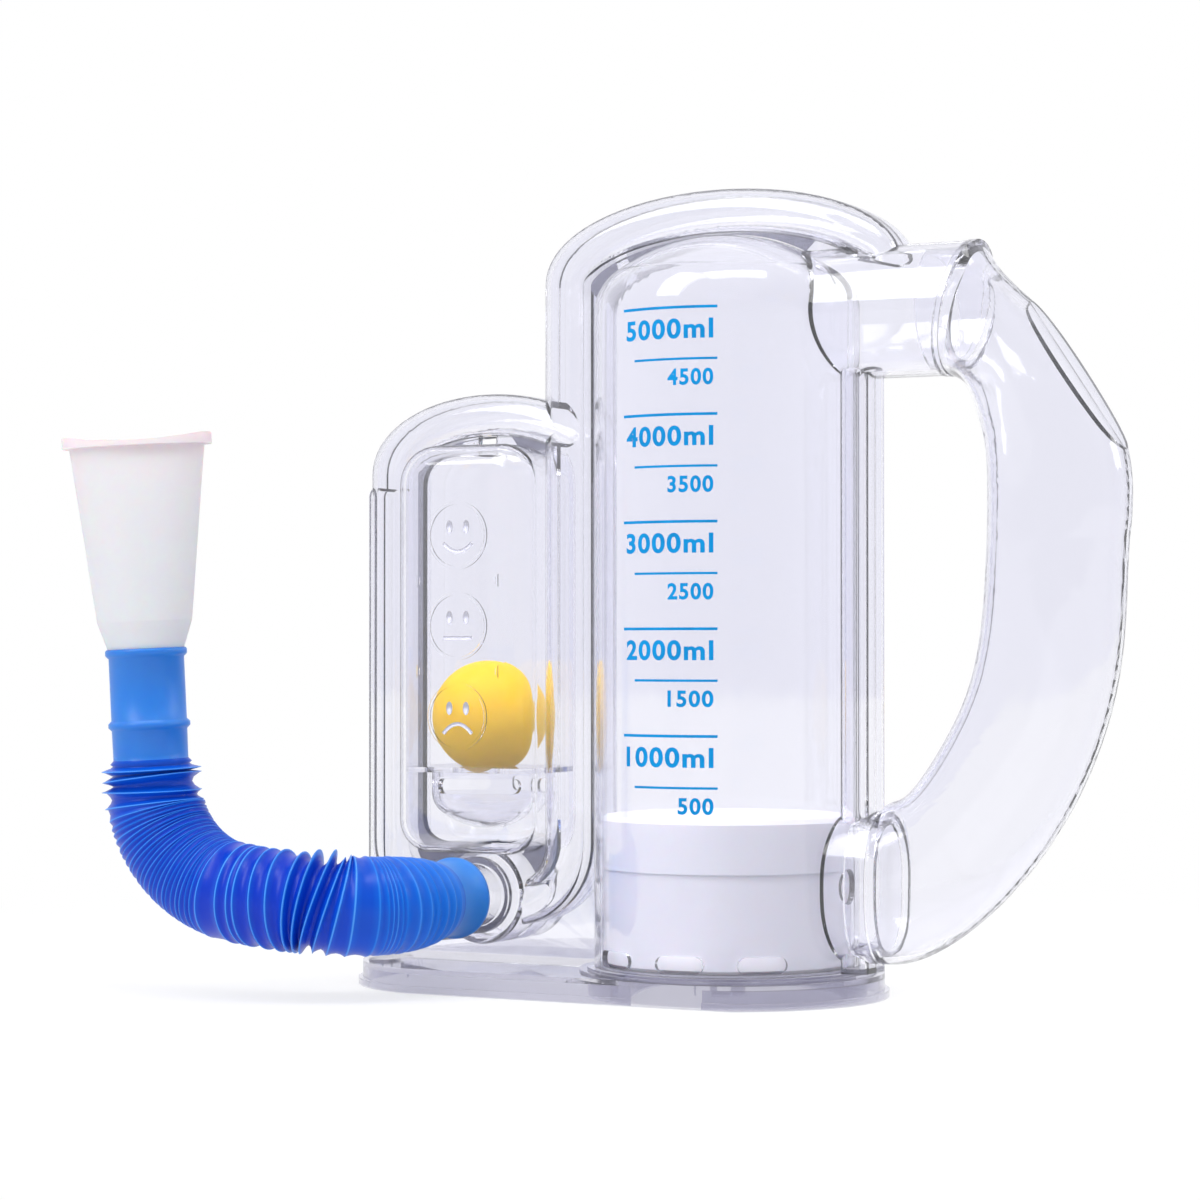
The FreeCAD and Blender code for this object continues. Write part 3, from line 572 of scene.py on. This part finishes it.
def bead(bm, centre, half_width, half_height, rise):
    """A low oval bump on the column's front."""
    count = 16
    rings = []
    for share, depth in ((1.0, 0.0), (0.87, 0.5), (0.6, 0.8), (0.3, 0.95)):
        ring = []
        for number in range(count):
            angle = 2 * math.pi * number / count
            x = centre[0] + math.cos(angle) * half_width * share
            z = centre[1] + math.sin(angle) * half_height * share
            ring.append(bm.verts.new((x, COLUMN_FRONT - rise * depth, z)))
        rings.append(ring)
    for first, second in zip(rings, rings[1:]):
        for number in range(count):
            after = (number + 1) % count
            bm.faces.new((first[number], first[after], second[after], second[number]))
    bm.faces.new(rings[-1])
    bm.faces.new(rings[0][::-1])


# How far the relief stands off the column, and the points across one stroke of a mouth
RELIEF = 0.0003
MOUTH_STEPS = 7


def mouth(bm, centre, half_width, bow, thickness, rise):
    """A raised stroke that bows down for a smile and up for a frown."""
    count = 14
    sections = []
    for number in range(count + 1):
        share = number / count * 2 - 1
        x = centre[0] + share * half_width
        z = centre[1] + bow * (share * share - 0.5)
        slope = 2 * bow * share / half_width
        normal = Vector((-slope, 1.0)).normalized() * thickness / 2
        section = []
        for step in range(MOUTH_STEPS):
            turn = math.pi * step / (MOUTH_STEPS - 1)
            across = -math.cos(turn)
            depth = COLUMN_FRONT - rise * math.sin(turn)
            section.append(bm.verts.new((x + normal.x * across, depth, z + normal.y * across)))
        sections.append(section)
    for first, second in zip(sections, sections[1:]):
        for number in range(MOUTH_STEPS):
            after = (number + 1) % MOUTH_STEPS
            bm.faces.new((first[number], first[after], second[after], second[number]))
    bm.faces.new(sections[0])
    bm.faces.new(sections[-1][::-1])


def face_marks():
    """Eyes and mouths for the three rings."""
    bm = bmesh.new()
    for height, bow in ((0.159, 0.0030), (0.127, 0.0), (0.095, -0.0034)):
        for eye in (-0.0034, 0.0034):
            bead(bm, (COLUMN_X + eye, height + 0.0030), 0.0013, 0.0024, RELIEF)
        mouth(bm, (COLUMN_X, height - 0.0042), 0.0058, bow, 0.0014, RELIEF)
    return bm


raised_faces = new_object("raised_faces", face_marks(), [clear_relief], "housing")
raised_faces.visible_shadow = False


# Floor, background and light

floor_mesh = bpy.data.meshes.new("floor")
floor_mesh.from_pydata([(-6, -6, 0), (6, -6, 0), (6, 6, 0), (-6, 6, 0)], [], [(0, 1, 2, 3)])
floor = bpy.data.objects.new("floor", floor_mesh)
scene.collection.objects.link(floor)
pale = bpy.data.materials.new("pale_floor")
pale.use_nodes = True
tree = pale.node_tree
tree.nodes.remove(tree.nodes["Principled BSDF"])
light_path = add(tree, "ShaderNodeLightPath")
seen = add(tree, "ShaderNodeMath", {
    0: light_path.outputs["Is Camera Ray"], 1: light_path.outputs["Is Transmission Ray"],
}, operation="MAXIMUM")
seen = add(tree, "ShaderNodeMath", {
    0: seen.outputs[0], 1: light_path.outputs["Is Glossy Ray"],
}, operation="MAXIMUM")
# The floor runs out into the white background beyond the object's own shadow.
place = add(tree, "ShaderNodeTexCoord").outputs["Object"]
distance = add(tree, "ShaderNodeVectorMath", {0: place}, operation="LENGTH")
far = add(tree, "ShaderNodeMapRange", {
    "Value": distance.outputs["Value"], "From Min": 0.2, "From Max": 0.5, "To Min": 0.75, "To Max": 1.0,
}, interpolation_type="SMOOTHSTEP")
amount = add(tree, "ShaderNodeMath", {0: seen.outputs[0], 1: far.outputs["Result"]}, operation="MULTIPLY")
diffuse = add(tree, "ShaderNodeBsdfDiffuse", {"Color": linear("#F4F4F6")})
glow = add(tree, "ShaderNodeEmission", {"Color": (1, 1, 1, 1), "Strength": 1.0})
mix = add(tree, "ShaderNodeMixShader", {0: amount.outputs[0], 1: diffuse.outputs[0], 2: glow.outputs[0]})
tree.links.new(mix.outputs[0], tree.nodes["Material Output"].inputs["Surface"])
floor_mesh.materials.append(pale)

world = bpy.data.worlds.new("studio")
scene.world = world
world.use_nodes = True
tree = world.node_tree
backdrop = tree.nodes["Background"]
backdrop.inputs["Color"].default_value = (1, 1, 1, 1)
backdrop.inputs["Strength"].default_value = 1.0
# The studio is bright behind the object and dim behind the camera, so the clear fronts reflect little.
place = add(tree, "ShaderNodeTexCoord").outputs["Generated"]
ahead = add(tree, "ShaderNodeVectorMath", {0: place, 1: (-0.469, 0.883, 0.0)}, operation="DOT_PRODUCT")
spread = add(tree, "ShaderNodeMapRange", {
    "Value": ahead.outputs["Value"], "From Min": -0.9, "From Max": 0.5, "To Min": 0.6, "To Max": 1.0,
})
# It lights matt surfaces less than it shows in glass, so that the softboxes shape them.
light_path = add(tree, "ShaderNodeLightPath")
mirrored = add(tree, "ShaderNodeMath", {
    0: light_path.outputs["Is Glossy Ray"], 1: light_path.outputs["Is Transmission Ray"],
}, operation="MAXIMUM")
gain = add(tree, "ShaderNodeMapRange", {"Value": mirrored.outputs[0], "To Min": 0.9, "To Max": 1.0})
level = add(tree, "ShaderNodeMath", {
    0: spread.outputs["Result"], 1: gain.outputs["Result"],
}, operation="MULTIPLY")
studio = add(tree, "ShaderNodeBackground", {"Color": linear("#F6F6FB"), "Strength": level.outputs[0]})
mix = add(tree, "ShaderNodeMixShader", {
    0: light_path.outputs["Is Camera Ray"], 1: studio.outputs[0], 2: backdrop.outputs[0],
})
tree.links.new(mix.outputs[0], tree.nodes["World Output"].inputs["Surface"])


def softbox(name, place, aim, width, height, power):
    """A flat studio light."""
    lamp = bpy.data.lights.new(name, "AREA")
    lamp.shape = "RECTANGLE"
    lamp.size = width
    lamp.size_y = height
    lamp.energy = power
    holder = bpy.data.objects.new(name, lamp)
    holder.location = place
    holder.rotation_euler = (Vector(aim) - Vector(place)).to_track_quat("-Z", "Y").to_euler()
    scene.collection.objects.link(holder)


softbox("softbox_left", (-0.42, -0.79, 1.0), (0, 0, 0.15), 0.45, 1.1, 8.6)
softbox("softbox_top", (0.25, -0.3, 1.2), (0, 0, 0.15), 0.7, 0.3, 5.0)
softbox("softbox_right", (0.9, 0.55, 0.7), (0, 0, 0.2), 0.3, 0.7, 3.0)

scene.view_settings.view_transform = "Standard"
scene.cycles.max_bounces = 28
scene.cycles.transmission_bounces = 28
